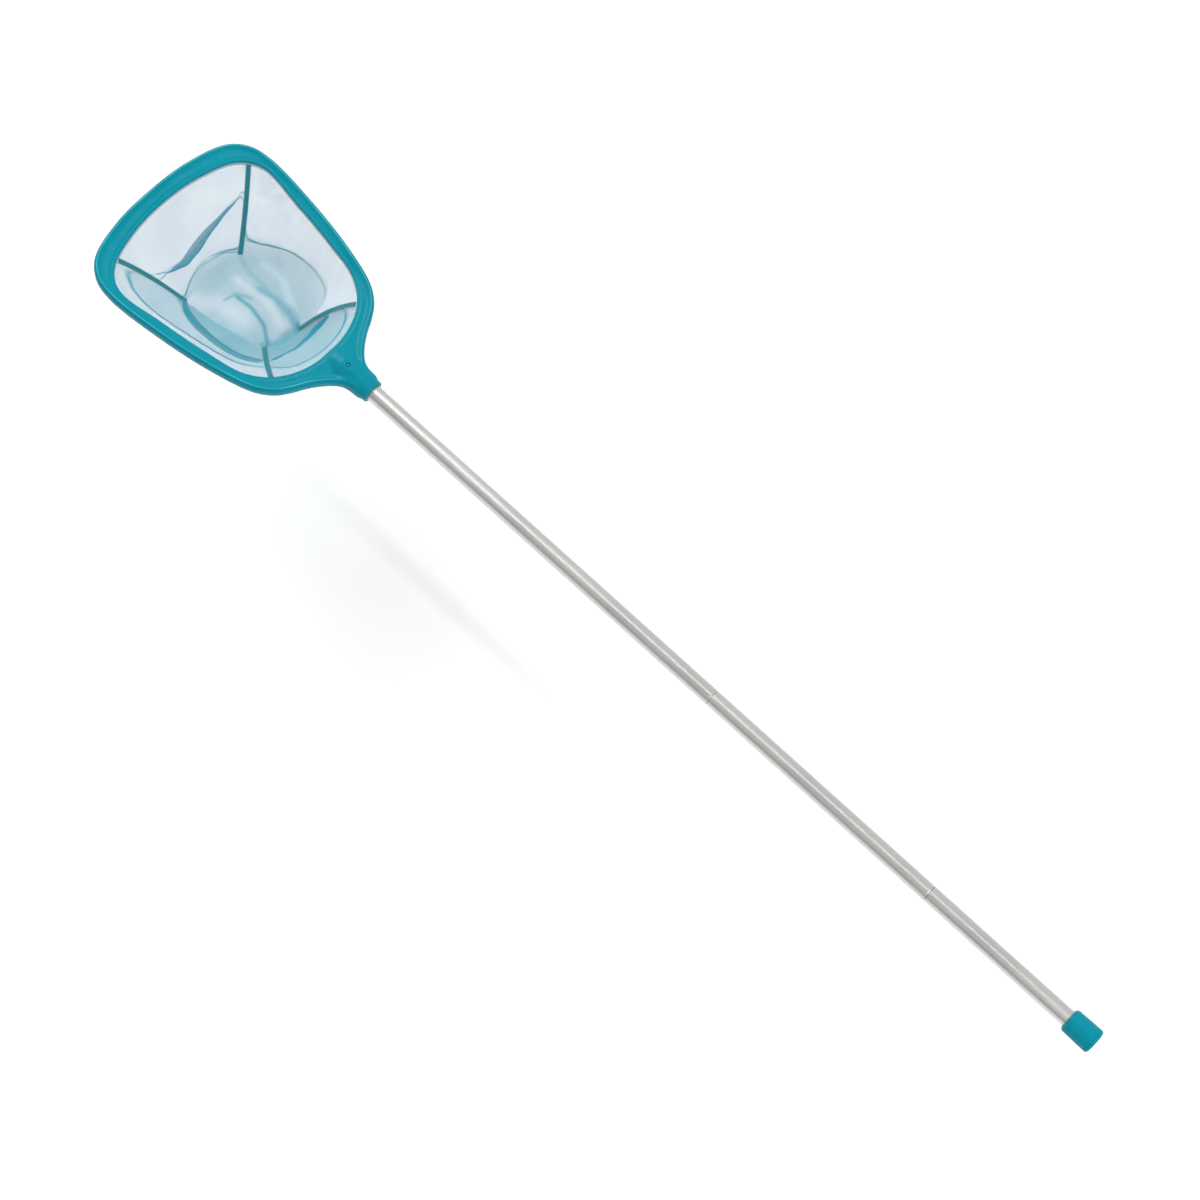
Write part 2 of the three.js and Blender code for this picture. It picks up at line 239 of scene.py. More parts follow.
def lathe(name, profile, upright=False, centre=(0, 0, 0), segments=96):
    """A turned piece from a closed profile of (radius, along). Its axis is Y, or Z when upright."""
    profile = [(max(r, 0), a) for r, a in profile]
    points = []
    rings = []
    for radius, along in profile:
        count = 1 if radius < 1e-7 else segments
        rings.append([len(points) + k % count for k in range(segments)])
        for k in range(count):
            angle = 2 * math.pi * k / segments
            across = (radius * math.cos(angle), radius * math.sin(angle))
            points.append((across[0], across[1], along) if upright else (across[0], along, across[1]))
    faces = []
    for i, ring in enumerate(rings):
        after = rings[(i + 1) % len(rings)]
        for k in range(segments):
            n = (k + 1) % segments
            corners = dict.fromkeys([ring[k], ring[n], after[n], after[k]])
            if len(corners) > 2:
                faces.append(tuple(corners))
    obj = mesh_object(name, np.array(points) + np.array(centre, float), faces)
    face_outwards(obj)
    crisp(obj)
    return obj


# ---- Materials ----


def new_material(name):
    """A material with an empty tree, and that tree."""
    material = bpy.data.materials.new(name)
    material.use_nodes = True
    material.node_tree.nodes.clear()
    return material, material.node_tree


def add(tree, kind, inputs=(), **settings):
    """A node with its settings, and with its inputs given as values or as sockets to link."""
    made = tree.nodes.new(kind)
    for key, value in settings.items():
        setattr(made, key, value)
    for key, value in dict(inputs).items():
        if isinstance(value, bpy.types.NodeSocket):
            tree.links.new(value, made.inputs[key])
        else:
            made.inputs[key].default_value = value
    return made


def calc(operation, tree, *values):
    """The result of a Math node."""
    return add(tree, "ShaderNodeMath", dict(enumerate(values)), operation=operation).outputs[0]


plus = partial(calc, "ADD")
minus = partial(calc, "SUBTRACT")
times = partial(calc, "MULTIPLY")
divided = partial(calc, "DIVIDE")
unsigned = partial(calc, "ABSOLUTE")


def spread(tree, value, low, high, to_low, to_high):
    """A value carried smoothly from one range to another, and held inside it."""
    inputs = {"Value": value, "From Min": low, "From Max": high, "To Min": to_low, "To Max": to_high}
    made = add(tree, "ShaderNodeMapRange", inputs, interpolation_type="SMOOTHSTEP")
    return made.outputs["Result"]


def tint(tree, share, low, high):
    """A colour between two, by a share from 0 to 1. Each is a colour or a socket to link."""
    made = add(tree, "ShaderNodeMix", {"Factor": share}, data_type="RGBA")
    ends = [s for s in made.inputs if s.type == "RGBA"]
    for end, value in zip(ends, (low, high)):
        if isinstance(value, bpy.types.NodeSocket):
            tree.links.new(value, end)
        else:
            end.default_value = (*value, 1)
    return next(s for s in made.outputs if s.type == "RGBA")


def noise(tree, scale, detail=2.0, stretch=(1, 1, 1)):
    """Noise in the piece's own coordinates; scale is in waves per metre."""
    where = add(tree, "ShaderNodeTexCoord").outputs["Object"]
    turned = add(tree, "ShaderNodeMapping", {"Vector": where, "Scale": stretch}).outputs["Vector"]
    inputs = {"Vector": turned, "Scale": scale, "Detail": detail}
    return add(tree, "ShaderNodeTexNoise", inputs).outputs["Fac"]


def bump(tree, height, distance, strength=1.0, under=None):
    """A bump of the given height in metres, on top of another where one is given."""
    inputs = {"Height": height, "Distance": distance, "Strength": strength}
    if under is not None:
        inputs["Normal"] = under
    return add(tree, "ShaderNodeBump", inputs).outputs["Normal"]


def finish_material(tree, inputs):
    """The Principled shader with these inputs, linked to the output."""
    shader = add(tree, "ShaderNodeBsdfPrincipled", inputs)
    add(tree, "ShaderNodeOutputMaterial", {"Surface": shader.outputs["BSDF"]})


BEAD_PLACE = 3.9 * MM  # a fine raised bead runs this far in from the head's edge
TWILL_PITCH = 0.8 * MM
STITCH_PITCH = 2.6 * MM
STITCH_LINE = 2.3 * MM  # from a tape's middle line


def teal_plastic():
    """Injection-moulded teal plastic: soft gloss, fine grain, rubbed edges and a few scuffs.

    The head's attributes "from_edge" and "on_hoop" place the fine raised bead round its outer edge, and a
    painted highlight along it.
    """
    material, tree = new_material("teal_plastic")
    base = tint(tree, noise(tree, 14, 3), (0.0010, 0.206, 0.274), (0.0018, 0.246, 0.322))
    edge = add(tree, "ShaderNodeNewGeometry").outputs["Pointiness"]
    rubbed = times(tree, spread(tree, edge, 0.52, 0.60, 0, 0.35), noise(tree, 60, 4))
    plain = tint(tree, rubbed, base, (0.03, 0.40, 0.48))
    from_edge = add(tree, "ShaderNodeAttribute", attribute_name="from_edge").outputs["Fac"]
    off_bead = unsigned(tree, minus(tree, from_edge, BEAD_PLACE))
    on_hoop = add(tree, "ShaderNodeAttribute", attribute_name="on_hoop").outputs["Fac"]
    bead = times(tree, spread(tree, off_bead, 0.3 * MM, 0.9 * MM, 1, 0), on_hoop)
    # painted highlight: the bead's line is drawn a lighter teal
    colour = tint(tree, times(tree, bead, noise(tree, 30, 2)), plain, (0.10, 0.60, 0.66))
    gloss = spread(tree, noise(tree, 45, 5), 0.3, 0.7, 0.24, 0.36)
    grain = bump(tree, noise(tree, 1800, 1), 0.00006, 0.35)
    flow = bump(tree, noise(tree, 26, 2), 0.0004, 0.25, grain)
    scratches = spread(tree, noise(tree, 120, 6, (1, 9, 1)), 0.66, 0.74, 0, 1)
    scuffs = bump(tree, scratches, 0.00005, 0.4, flow)
    raised = bump(tree, bead, 0.0005, 0.8, scuffs)
    finish_material(tree, {
        "Base Color": colour, "Roughness": gloss, "Normal": raised,
        "IOR": 1.49, "Specular IOR Level": 0.09,
    })
    return material


def aluminium():
    """Drawn and satin-anodised tube: fine lines along the pole, faint patches and handling marks."""
    material, tree = new_material("pole_aluminium")
    lines = noise(tree, 1500, 2, (1, 0.006, 1))
    patches = noise(tree, 18, 4, (1, 0.4, 1))
    marks = spread(tree, noise(tree, 90, 6, (1, 0.25, 1)), 0.58, 0.72, 0, 1)
    tone = plus(tree, times(tree, lines, 0.5), times(tree, patches, 0.5))
    base = tint(tree, tone, (0.58, 0.575, 0.56), (0.72, 0.72, 0.705))
    satin = spread(tree, patches, 0.3, 0.7, 0.36, 0.44)
    rough = plus(tree, satin, times(tree, marks, 0.06))
    drawn = bump(tree, lines, 0.00002, 0.4)
    dents = bump(tree, noise(tree, 7, 1, (1, 0.5, 1)), 0.0002, 0.1, drawn)
    finish_material(tree, {"Base Color": base, "Metallic": 1.0, "Roughness": rough, "Normal": dents})
    return material


def spring_steel():
    """Rolled stainless strip with lines along its length."""
    material, tree = new_material("spring_steel")
    lines = noise(tree, 2400, 2, (1, 0.02, 0.02))
    base = tint(tree, lines, (0.50, 0.51, 0.52), (0.68, 0.69, 0.70))
    rough = spread(tree, noise(tree, 200, 3), 0.3, 0.7, 0.24, 0.36)
    rolled = bump(tree, lines, 0.00002, 0.6)
    finish_material(tree, {"Base Color": base, "Metallic": 1.0, "Roughness": rough, "Normal": rolled})
    return material


def cloth_places(tree):
    """A cloth piece's two coordinates in metres, laid flat."""
    flat = add(tree, "ShaderNodeUVMap").outputs["UV"]
    made = add(tree, "ShaderNodeSeparateXYZ", {"Vector": flat})
    return made.outputs["X"], made.outputs["Y"]


def threads(tree, along, pitch, width):
    """A soft profile, 1 on each thread and 0 between, of parallel threads across a coordinate."""
    place = calc("FRACT", tree, divided(tree, along, pitch))
    away = unsigned(tree, minus(tree, place, 0.5))
    half = times(tree, width, 0.5)
    return spread(tree, away, half, plus(tree, half, 0.16), 1, 0)


def net_mesh(name, pitch=1.0 * MM, open_share=0.05, wall=(0.14, 0.31), low=(0.22, 0.39, 0.52),
             high=(0.37, 0.54, 0.67), deep_shade=(0.02, 0.30, 0.40)):
    """Fine woven mesh: crossing threads with holes between, drawn denser and a deeper blue where the cloth's
    density attribute is high.

    That attribute carries the threads' width from one end of the wall range, at 0, to the other, at 1,
    and beyond it in the folds. It also carries painted shade, raised along and in the folds and over
    the floor, and lowered as painted light on the floor's swells. The deeper blue where it is high is
    painted shade.
    """
    material, tree = new_material(name)
    across, along = cloth_places(tree)
    density_and_shade = add(tree, "ShaderNodeAttribute", attribute_name="density_and_shade").outputs["Fac"]
    cloudy = plus(tree, noise(tree, 35, 4), noise(tree, 13, 2))
    uneven = times(tree, minus(tree, cloudy, 1), 0.12)
    thick = calc("MULTIPLY_ADD", tree, density_and_shade, wall[1] - wall[0], wall[0])
    width = plus(tree, thick, uneven)
    warp = threads(tree, across, pitch, width)
    weft = threads(tree, along, pitch, width)
    cover = calc("MAXIMUM", tree, warp, weft)
    solid = plus(tree, times(tree, cover, 1 - open_share), open_share)
    half = divided(tree, across, 2 * pitch)
    other = divided(tree, along, 2 * pitch)
    turn = calc("SINE", tree, times(tree, plus(tree, half, other), 2 * math.pi))
    shade = plus(tree, times(tree, noise(tree, 55, 3), 0.7), times(tree, turn, 0.15))
    pale = tint(tree, shade, low, high)
    # painted shade: the threads turn a deeper blue where the density attribute is high
    shade_share = spread(tree, plus(tree, density_and_shade, uneven), 0, 1.4, 0, 1)
    colour = tint(tree, shade_share, pale, deep_shade)
    crossing = bump(tree, plus(tree, cover, times(tree, turn, 0.3)), 0.00025, 0.7)
    finish_material(tree, {
        "Base Color": colour, "Alpha": solid, "Roughness": 0.55, "Normal": crossing,
        "Sheen Weight": 0.12, "Sheen Roughness": 0.4,
    })
    return material


def seam_tape():
    """Woven binding tape: a fine twill with a line of stitches along each edge."""
    material, tree = new_material("seam_tape")
    across, along = cloth_places(tree)
    slant = plus(tree, times(tree, along, 0.8), across)
    twill = calc("SINE", tree, times(tree, slant, 2 * math.pi / TWILL_PITCH))
    rib = plus(tree, times(tree, twill, 0.5), 0.5)
    edge = unsigned(tree, minus(tree, unsigned(tree, across), STITCH_LINE))
    beside = spread(tree, edge, 0.15 * MM, 0.4 * MM, 1, 0)
    beat = calc("FRACT", tree, divided(tree, along, STITCH_PITCH))
    within = unsigned(tree, minus(tree, beat, 0.5))
    stitch = times(tree, beside, spread(tree, within, 0.3, 0.4, 1, 0))
    worn = times(tree, rib, noise(tree, 90, 4))
    body = tint(tree, worn, (0.006, 0.155, 0.195), (0.018, 0.32, 0.38))
    colour = tint(tree, stitch, body, (0.03, 0.34, 0.40))
    weave = bump(tree, rib, 0.0002, 0.7)
    sewn = bump(tree, stitch, 0.0003, 0.8, weave)
    finish_material(tree, {
        "Base Color": colour, "Roughness": 0.72, "Normal": sewn,
        "Sheen Weight": 0.06, "Sheen Roughness": 0.5,
    })
    return material


def pale_floor():
    """Matt off-white studio paper."""
    material, tree = new_material("studio_floor")
    colour = tint(tree, noise(tree, 0.8, 2), (0.93, 0.93, 0.93), (0.96, 0.96, 0.955))
    finish_material(tree, {"Base Color": colour, "Roughness": 0.9})
    return material


def dress(obj, material, slot, body, *nodes):
    """Gives a piece its material, rides it on a body and stands it for CAD nodes. The slot is not used."""
    obj.data.materials.clear()
    obj.data.materials.append(material)
    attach(obj, body)
    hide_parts(*nodes)
    return obj


TEAL = teal_plastic()
TUBE = aluminium()
STEEL = spring_steel()
NET = net_mesh("net_mesh")
HEM = net_mesh("net_hem", pitch=0.7 * MM, open_share=0.35, wall=(0.3, 0.3), low=(0.50, 0.68, 0.74),
               high=(0.74, 0.86, 0.89))
TAPE = seam_tape()

# ---- Head frame ----

GRID = 1.2 * MM
HOOP_TOP = HOOP_BOTTOM + 14 * MM
BAND_CREST = 3.4 * MM  # the band's crest is this far in from the outer edge
BAND_EDGE_DROP = 1.2 * MM  # fall from the crest to the outer edge
BAND_DROP = 2.6 * MM  # fall from the crest to the flat of the band
BAND_SLOPE_END = 11 * MM
BEAD_WIDTH = 1.0 * MM
BEAD_HEIGHT = 0.35 * MM
BEAD_START = 30 * MM  # from the socket's mouth, the bead fades in between here and the next
BEAD_FULL = 75 * MM
LIP_WIDTH = 5.4 * MM  # the lip round the opening, marked off by a fine step
LIP_STEP = 0.7 * MM
OUTER_FILLET = 4.5 * MM
SMALL_FILLET = 1.4 * MM
REBATE_WIDTH = 5 * MM
REBATE_TOP = HOOP_BOTTOM + 6 * MM
SOCKET_STRAIGHT = 50 * MM
SOCKET_LENGTH = 71 * MM
SOCKET_TIP_RADIUS = 8.6 * MM
SOCKET_END_FILLET = 8 * MM
WEB_FILLET = 9 * MM
BORE_RADIUS = TUBE_RADIUS + 0.3 * MM
BORE_DEPTH = 57 * MM
BUTTON_HOLE_RADIUS = 3 * MM
REBATE_FILLET = 0.3 * MM
BORE_FILLET = 0.6 * MM
HOLE_FILLET = 0.5 * MM
OUTLINE_POINTS = 420
OPENING_POINTS = 100  # on each of its four sides


def plan_distance(outline, xs, ys):
    """Signed distance in plan from a closed outline, negative inside, at each place of a grid."""
    xx, yy = np.meshgrid(xs, ys, indexing="ij")
    nearest = np.full(xx.shape, np.inf)
    crossings = np.zeros(xx.shape, int)
    for (x0, y0), (x1, y1) in zip(outline, np.roll(outline, -1, axis=0)):
        dx = x1 - x0
        dy = y1 - y0
        share = np.clip(((xx - x0) * dx + (yy - y0) * dy) / (dx * dx + dy * dy), 0, 1)
        gap = (xx - x0 - share * dx) ** 2 + (yy - y0 - share * dy) ** 2
        np.minimum(nearest, gap, out=nearest)
        if dy != 0:
            spans = (yy >= min(y0, y1)) & (yy < max(y0, y1))
            crossings += spans & (xx < x0 + (yy - y0) * dx / dy)
    return np.sqrt(nearest) * np.where(crossings % 2 == 1, -1, 1)


def smooth_max(a, b, fillet):
    """The larger of two fields, with the edge between them rounded."""
    blend = np.maximum(fillet - np.abs(a - b), 0)
    return np.maximum(a, b) + blend * blend / (4 * fillet)


def smooth_min(a, b, fillet):
    """The smaller of two fields, with the edge between them rounded."""
    return -smooth_max(-a, -b, fillet)


def ease(value, low, high):
    """A smooth step from 0 at low to 1 at high."""
    t = np.clip((value - low) / (high - low), 0, 1)
    return t * t * (3 - 2 * t)


def head_field(from_outer, from_inner, x, y, z):
    """The moulding as a field that is negative inside it.

    from_outer and from_inner are the plan distances from the outer edge and from the opening.
    """
    inwards = -from_outer
    along = y - MOUTH_Y
    edge = np.clip(1 - inwards / BAND_CREST, 0, 1) ** 2 * BAND_EDGE_DROP
    fall = ease(inwards, BAND_CREST, BAND_SLOPE_END) * BAND_DROP
    lip = (1 - ease(from_inner, LIP_WIDTH - GRID / 2, LIP_WIDTH + GRID / 2)) * LIP_STEP
    bead = np.exp(-(((inwards - BEAD_PLACE) / BEAD_WIDTH) ** 2)) * BEAD_HEIGHT
    bead = bead * ease(along, BEAD_START, BEAD_FULL)
    top = HOOP_TOP - edge - fall - lip + bead
    plate = smooth_max(from_outer, z - top, OUTER_FILLET)
    plate = smooth_max(plate, HOOP_BOTTOM - z, 2 * SMALL_FILLET)
    plate = smooth_max(plate, -from_inner, SMALL_FILLET)
    taper = ease(along, SOCKET_STRAIGHT, SOCKET_LENGTH)
    radius = SOCKET_RADIUS + (SOCKET_TIP_RADIUS - SOCKET_RADIUS) * taper
    socket = np.sqrt(x * x + z * z) - radius
    socket = smooth_max(socket, along - SOCKET_LENGTH, SOCKET_END_FILLET)
    body = smooth_min(plate, socket, WEB_FILLET)
    body = smooth_max(body, -along, SMALL_FILLET)
    rebate = np.maximum(z - REBATE_TOP, from_inner - REBATE_WIDTH)
    body = smooth_max(body, -rebate, REBATE_FILLET)
    bore = np.maximum(np.sqrt(x * x + z * z) - BORE_RADIUS, along - BORE_DEPTH)
    body = smooth_max(body, -bore, BORE_FILLET)
    hole = np.maximum(np.sqrt(x * x + (y - BUTTON_Y) ** 2) - BUTTON_HOLE_RADIUS, -z)
    return smooth_max(body, -hole, HOLE_FILLET)


def surface_net(field):
    """Vertices, in grid steps, and quads over the zero level of a field sampled on a grid."""
    inside = field < 0
    shape = tuple(n - 1 for n in field.shape)
    count = sum(
        inside[tuple(slice(s, s + n) for s, n in zip(shift, shape))].astype(np.int8)
        for shift in product((0, 1), repeat=3)
    )
    cells = np.argwhere((count > 0) & (count < 8))
    index = np.full(shape, -1)
    index[tuple(cells.T)] = np.arange(len(cells))
    total = np.zeros((len(cells), 3))
    crossed = np.zeros(len(cells))
    for axis in range(3):
        step = np.eye(3, dtype=int)[axis]
        for shift in product((0, 1), repeat=3):
            if shift[axis]:
                continue
            low = field[tuple((cells + shift).T)]
            high = field[tuple((cells + shift + step).T)]
            cut = (low < 0) != (high < 0)
            share = low[cut] / (low[cut] - high[cut])
            total[cut] += cells[cut] + shift + share[:, None] * step
            crossed[cut] += 1
    points = total / crossed[:, None]
    quads = []
    for axis in range(3):
        step = np.eye(3, dtype=int)[axis]
        side, other = (np.eye(3, dtype=int)[(axis + k) % 3] for k in (1, 2))
        low = inside[tuple(slice(0, n - s) for n, s in zip(field.shape, step))]
        high = inside[tuple(slice(s, n) for n, s in zip(field.shape, step))]
        edges = np.argwhere(low != high)
        edges = edges[(edges @ side > 0) & (edges @ other > 0)]
        edges = edges[np.all(edges < shape, axis=1)]
        around = [index[tuple((edges - shift).T)] for shift in (side + other, other, 0 * side, side)]
        flips = low[tuple(edges.T)]
        ring = np.stack(around, axis=1)
        quads.append(np.where(flips[:, None], ring, ring[:, ::-1]))
    quads = np.concatenate(quads)
    return points, quads[np.all(quads >= 0, axis=1)]


def sampled(grid, origin, places):
    """A plan field read between its grid points."""
    at = (places - origin) / GRID
    low = np.clip(np.floor(at).astype(int), 0, np.array(grid.shape) - 2)
    share = at - low
    i, j = low.T
    s, t = share.T
    near = grid[i, j] * (1 - s) + grid[i + 1, j] * s
    far = grid[i, j + 1] * (1 - s) + grid[i + 1, j + 1] * s
    return near * (1 - t) + far * t


def head_frame():
    """The hoop, web and socket as one smooth moulding."""
    open_line = np.roll(mirrored(OUTER_HALF), -len(OUTER_HALF), axis=0)
    at = np.linspace(0, len(open_line) - 1, OUTLINE_POINTS)
    outer = curve_through(open_line, at, closed=False)
    inner = rim_line(OPENING_POINTS)
    margin = 3 * GRID
    xs, ys, zs = (
        np.arange(low - margin, high + margin, GRID)
        for low, high in zip(HEAD_LOW, HEAD_HIGH)
    )
    from_outer = plan_distance(outer, xs, ys)
    from_inner = plan_distance(inner, xs, ys)
    field = head_field(
        from_outer[:, :, None], from_inner[:, :, None],
        xs[:, None, None], ys[None, :, None], zs[None, None, :],
    )
    points, quads = surface_net(field)
    points = points * GRID + np.array([xs[0], ys[0], zs[0]])
    plan_origin = np.array([xs[0], ys[0]])

    def value(places):
        """The moulding's field at some places."""
        plan = [sampled(grid, plan_origin, places[:, :2]) for grid in (from_outer, from_inner)]
        return head_field(*plan, *places.T)

    for _ in range(2):
        here = value(points)
        nudge = 0.05 * MM
        ahead = np.stack([value(points + nudge * axis) for axis in np.eye(3)], axis=1)
        slope = (ahead - here[:, None]) / nudge
        move = -here[:, None] * slope / np.maximum((slope**2).sum(axis=1), 0.2)[:, None]
        points += np.clip(move, -0.5 * GRID, 0.5 * GRID)
    head = mesh_object("head_moulding", points, quads)
    point_values(head, "from_edge", -sampled(from_outer, plan_origin, points[:, :2]))
    point_values(head, "on_hoop", ease(points[:, 1] - MOUTH_Y, BEAD_START, BEAD_FULL))
    return head


# ---- Net bag ----

SIDE_STEPS = 68  # grid steps along each side of the bag
WALL_STEPS = 56  # grid steps from the rim to the floor
FLOOR_BOWS = ((0, 8), (27, 6), (4, -8), (-3, 0))  # of the far, right, near and left edges, in mm
FLOOR_SLIPS = ((-1, 0), (0, 0), (0, 0), (3, 13))  # of the seams' feet, from the far left one, in mm
RIM_TURN = (12, 14, 5, 0)  # how far each seam's top has turned clockwise round the opening, in mm
NET_INSET = 0.8 * MM
CLOTH_FRAMES = 24
CLOTH_REACH = 8 * MM  # the furthest that a point may move in the simulation
CLOTH_SETTINGS = {
    "quality": 6, "mass": 0.05, "air_damping": 2.0, "tension_stiffness": 12.0,
    "compression_stiffness": 12.0, "shear_stiffness": 4.0, "bending_stiffness": 0.4,
    "tension_damping": 5.0, "compression_damping": 5.0, "shear_damping": 5.0,
    "bending_damping": 0.5, "vertex_group_mass": "pin", "shrink_min": -0.02,
}
RIM_PIN = 1.0  # how firmly the simulation holds each line
SEAM_PIN = 0.92
FOOT_PIN = 0.5
SEAM_HALO = 28 * MM  # how far the cloth beside a bowed seam follows it

# How far each corner seam bows at its middle, along X, Y and Z in millimetres, from the far left
SEAM_BOWS = ((0, 5, 6), (2, 0, 0), (3, 2, 7), (-2, 0, 4))

# The folds and creases of each wall, from the rim down. Each holds the grid rows that lie on its
# two edges, how thick and dark the net is drawn below it, how far it stands in, and its route: share
# along the side, share of the way down, depth of the overlap in millimetres, and strength. The
# strength also sets the painted shade along the fold's edges.
FAR_FOLDS = (
    ((20, 27), 0, 4.5 * MM, (
        (0, 0.5, 0, 0), (0.08, 0.56, 0, 0.7), (0.2, 0.65, 3, 1), (0.35, 0.71, 10, 1),
        (0.55, 0.66, 14, 1), (0.78, 0.53, 7, 1), (0.92, 0.4, 2, 0.9), (1, 0.22, 0, 0.2))),
    ((45, 48), 0.5, 1.6 * MM, (
        (0, 0.97, 0, 0.5), (0.1, 0.95, 1, 1), (0.28, 0.9, 2, 0.8), (0.45, 0.86, 1, 0.2),
        (0.6, 0.87, 0, 0.3), (0.78, 0.89, 1, 0.9), (1, 0.96, 0, 1))),
)
RIGHT_FOLDS = (
    ((36, 40), 0.4, 2.2 * MM, (
        (0, 0.8, 0, 1), (0.08, 0.84, 1, 1), (0.2, 0.83, 2, 1), (0.33, 0.75, 2, 1),
        (0.48, 0.6, 1, 0.6), (0.6, 0.5, 1, 0.3), (0.78, 0.46, 0, 0.3), (0.92, 0.62, 0, 0.2),
        (1, 0.8, 0, 0.2))),
)
NEAR_FOLDS = (
    ((12, 15), 0.3, 1.2 * MM, (
        (0, 0.15, 0, 0.3), (0.15, 0.14, 1, 0.9), (0.4, 0.2, 1, 0.8), (0.65, 0.27, 1, 0.8),
        (0.87, 0.3, 1, 0.9), (1, 0.36, 0, 0.4))),
    ((28, 34), 0.8, 3.5 * MM, (
        (0, 0.4, 3, 0.8), (0.1, 0.52, 10, 1), (0.22, 0.66, 8, 1), (0.4, 0.74, 2, 0.9),
        (0.73, 0.72, 1, 0.9), (0.9, 0.58, 2, 0.9), (1, 0.48, 0, 0.5))),
)
LEFT_FOLDS = (
    ((13, 17), 0.35, 1.6 * MM, (
        (0, 0.34, 0, 0.3), (0.1, 0.36, 1, 0.9), (0.35, 0.31, 2, 1), (0.57, 0.25, 2, 1),
        (0.75, 0.25, 2, 0.9), (0.93, 0.14, 1, 0.6), (1, 0.12, 0, 0))),
    ((30, 36), 0.9, 4.0 * MM, (
        (0, 0.5, 0, 0.6), (0.08, 0.5, 3, 1), (0.23, 0.53, 7, 1), (0.4, 0.58, 11, 1),
        (0.67, 0.76, 13, 1), (0.87, 0.88, 6, 1), (1, 0.96, 0, 0.8))),
)
WALL_FOLDS = (FAR_FOLDS, RIGHT_FOLDS, NEAR_FOLDS, LEFT_FOLDS)
CREASE_SHADE = 3.2  # painted shade: how much denser and darker the net is drawn along the edge of a fold
FOLD_SHADE = 0.9  # painted shade: and in between a fold's two edges
FOLD_SMOOTHING = 4  # columns over which a fold's route is rounded off
FOLD_TUCK = 0.3  # how far a fold's lower edge stands out, against its upper edge
FOLD_START = 0.05  # folds fade in over this share of a side from each seam
FLOOR_MARGIN = 0.08  # and the floor's creases over this share from its edge
WALL_DENSITY = (0.0, 0.1, 0.7, 0.4)  # of the far, right, near and left wall
FOOT_DENSITY = (0.5, 0.5, 0.3, 0.2)  # how much denser and darker each wall is drawn towards the floor

# Creases and soft swells of the floor: route as shares across and down, width and height in
# millimetres, and the painted shade there, as how much denser and darker the net is drawn; a
# negative value is painted light on a swell
FLOOR_CREASES = (
    (((0.42, 0.36), (0.42, 0.52), (0.36, 0.74), (0.12, 0.94)), 2.2, 2.5, 1.6),
    (((0.3, 0.3), (0.45, 0.33), (0.52, 0.46)), 2, 1.2, 0.7),
    (((0.98, 0.02), (0.8, 0.22), (0.74, 0.45)), 4, 2.5, 0.3),
    (((0.66, 0.45), (0.73, 0.6), (0.79, 0.78), (0.91, 0.97)), 5, 3, 1.0),
    (((0.04, 0.96), (0.35, 0.97), (0.65, 0.96), (0.96, 0.98)), 7, -2, 1.2),
    (((0.04, 0.05), (0.25, 0.3), (0.22, 0.6)), 15, 4, -0.6),
    (((0.6, 0.25), (0.62, 0.6), (0.55, 0.85)), 9, 6, -0.5),
    (((0.95, 0.3), (0.97, 0.55), (0.93, 0.8)), 7, 4, -0.3),
)


def floor_corner(place):
    """The plan place, in metres, of a floor corner given like the outlines' points."""
    along, across = place
    return across * MM, MOUTH_Y + along * MM


def turned(rim):
    """The rim's points, slid round it so that each seam's top stands where RIM_TURN says."""
    closed = np.vstack([rim, rim[:1]])
    places = travelled(closed)
    corners = np.arange(5) * SIDE_STEPS
    slide = np.interp(np.arange(len(rim)), corners, (*RIM_TURN, RIM_TURN[0])) * MM
    at = places[:-1] + slide
    return np.column_stack([np.interp(at, places, closed[:, k], period=places[-1]) for k in range(2)])


def bag_rest():
    """The bag before it settles: wall points, level by level round the rim, and floor points, row by row."""
    rim = turned(rim_line(SIDE_STEPS))
    rim = rim - outward(rim) * NET_INSET
    far_x, far_y = floor_corner(FLOOR_FAR)
    near_x, near_y = floor_corner(FLOOR_NEAR)
    corners = np.array([(-far_x, far_y), (far_x, far_y), (near_x, near_y), (-near_x, near_y)])
    corners += np.array(FLOOR_SLIPS) * MM
    edge = []
    for i, bow in enumerate(FLOOR_BOWS):
        t = np.arange(SIDE_STEPS)[:, None] / SIDE_STEPS
        line = corners[i] + (corners[(i + 1) % 4] - corners[i]) * t
        edge.append(line + np.array(bow) * MM * 4 * t * (1 - t))
    edge = np.concatenate(edge)
    levels = []
    for j in range(WALL_STEPS + 1):
        t = j / WALL_STEPS
        plan = rim + (edge - rim) * t
        height = RIM_Z + (FLOOR_Z - RIM_Z) * t
        levels.append(np.column_stack([plan, np.full(len(plan), height)]))
    walls = np.array(levels)
    n = SIDE_STEPS
    side = [walls[-1][(i * n + np.arange(n + 1)) % (4 * n)] for i in range(4)]
    far, right, near, left = side[0], side[1], side[2][::-1], side[3][::-1]
    u = np.linspace(0, 1, n + 1)[None, :, None]
    v = np.linspace(0, 1, n + 1)[:, None, None]
    across = far[None] * (1 - v) + near[None] * v
    down = left[:, None] * (1 - u) + right[:, None] * u
    flat = (
        far[0] * (1 - u) * (1 - v) + far[-1] * u * (1 - v)
        + near[0] * (1 - u) * v + near[-1] * u * v
    )
    return walls, across + down - flat


def bag_index():
    """Vertex numbers of the walls, level by level with the first column repeated, and of the floor."""
    n = SIDE_STEPS
    floor = np.arange((n + 1) ** 2).reshape(n + 1, n + 1) + WALL_STEPS * 4 * n
    walls = np.arange(WALL_STEPS * 4 * n).reshape(WALL_STEPS, 4 * n)
    edge = np.concatenate([floor[0, :-1], floor[:-1, -1], floor[-1, :0:-1], floor[:0:-1, 0]])
    walls = np.vstack([walls, edge])
    return np.hstack([walls, walls[:, :1]]), floor


